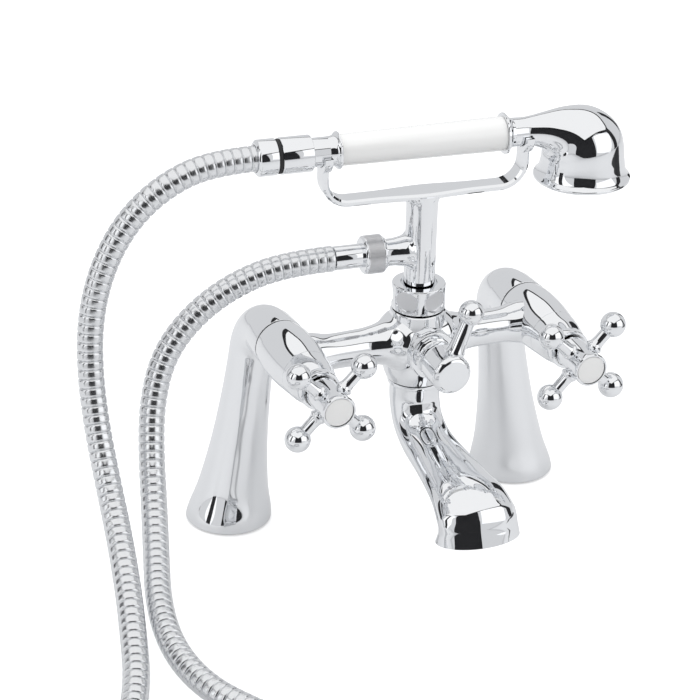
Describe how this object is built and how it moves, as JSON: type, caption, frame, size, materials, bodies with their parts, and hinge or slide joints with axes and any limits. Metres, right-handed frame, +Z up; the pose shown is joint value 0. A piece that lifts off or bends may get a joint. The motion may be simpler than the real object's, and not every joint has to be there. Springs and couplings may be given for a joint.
{
  "type": "deck-mounted bath shower mixer",
  "caption": "Pillar-mounted bath and shower mixer with cross handles, lever diverter, down-turned spout, and a cradled telephone-style handset on a ribbed hose.",
  "frame": {"origin": "midpoint between the two pillars on the top face of the bath deck", "axes": "+X along the deck from the hot pillar to the cold one, -Y towards the user and the spout, +Z up"},
  "size_m": [0.4196, 0.4372, 0.3117],
  "materials": {
    "chrome": "polished chrome plate",
    "brass": "machined brass",
    "rubber": "matt black rubber",
    "ceramic": "glazed white ceramic",
    "hose": "polished ribbed metal hose",
    "plastic": "moulded white plastic"
  },
  "bodies": {
    "body": {"hot_pillar": "chrome", "hot_foot_seal": "rubber", "hot_inlet_tail": "brass", "hot_deck_washer": "rubber", "hot_backnut": "brass", "hot_union_collar": "chrome", "hot_union_seal": "rubber", "hot_cartridge": "brass", "hot_fixed_disc": "ceramic", "hot_shroud": "chrome", "hot_bonnet": "chrome", "cold_pillar": "chrome", "cold_foot_seal": "rubber", "cold_inlet_tail": "brass", "cold_deck_washer": "rubber", "cold_backnut": "brass", "cold_union_collar": "chrome", "cold_union_seal": "rubber", "cold_cartridge": "brass", "cold_fixed_disc": "ceramic", "cold_shroud": "chrome", "cold_bonnet": "chrome", "mixer_body": "chrome", "diverter_flange": "chrome", "diverter_core": "brass", "spout": "chrome", "riser_nut": "chrome", "riser_washer": "rubber", "riser_cradle": "chrome", "check_valve": "plastic", "outlet_washer": "rubber", "outlet_ferrule": "chrome", "outlet_nut": "chrome", "hose_outlet_run": "hose", "hose_coil": "hose", "hose_handset_run": "hose"},
    "hot_handle": {"hot_handle_hub": "chrome", "hot_handle_arms": "chrome", "hot_index_disc": "ceramic", "hot_spindle": "brass", "hot_moving_disc": "ceramic"},
    "cold_handle": {"cold_handle_hub": "chrome", "cold_handle_arms": "chrome", "cold_index_disc": "ceramic", "cold_spindle": "brass", "cold_moving_disc": "ceramic"},
    "diverter": {"diverter_knob": "chrome", "diverter_lever": "chrome", "diverter_rotor": "brass"},
    "handset": {"handset_tail": "chrome", "swivel_cup": "chrome", "handset_core_tube": "brass", "handset_sleeve": "ceramic", "handset_collar": "chrome", "shower_head": "chrome", "rose_plate": "chrome", "rose_seal": "rubber"},
    "hose_swivel": {"swivel_sleeve": "chrome", "swivel_ring": "rubber"}
  },
  "joints": [
    {"name": "hot_valve", "type": "hinge", "parent": "body", "child": "hot_handle", "pos_m": [-0.075, -0.1, 0.126], "axis": [0, -1, 0], "range_deg": [0, 90]},
    {"name": "cold_valve", "type": "hinge", "parent": "body", "child": "cold_handle", "pos_m": [0.075, -0.1, 0.126], "axis": [0, -1, 0], "range_deg": [-90, 0]},
    {"name": "diverter_turn", "type": "hinge", "parent": "body", "child": "diverter", "pos_m": [0, -0.09, 0.126], "axis": [0, -1, 0], "range_deg": [0, 45]},
    {"name": "handset_lift", "type": "slide", "parent": "body", "child": "handset", "axis": [0, 0, 1], "range_m": [0, 0.06], "deforming": ["hose_handset_run"]},
    {"name": "hose_swivel_turn", "type": "hinge", "parent": "handset", "child": "hose_swivel", "pos_m": [-0.08377, -0.04825, 0.2452], "axis": [0.9973, -0.0732, 0], "continuous": true}
  ]
}
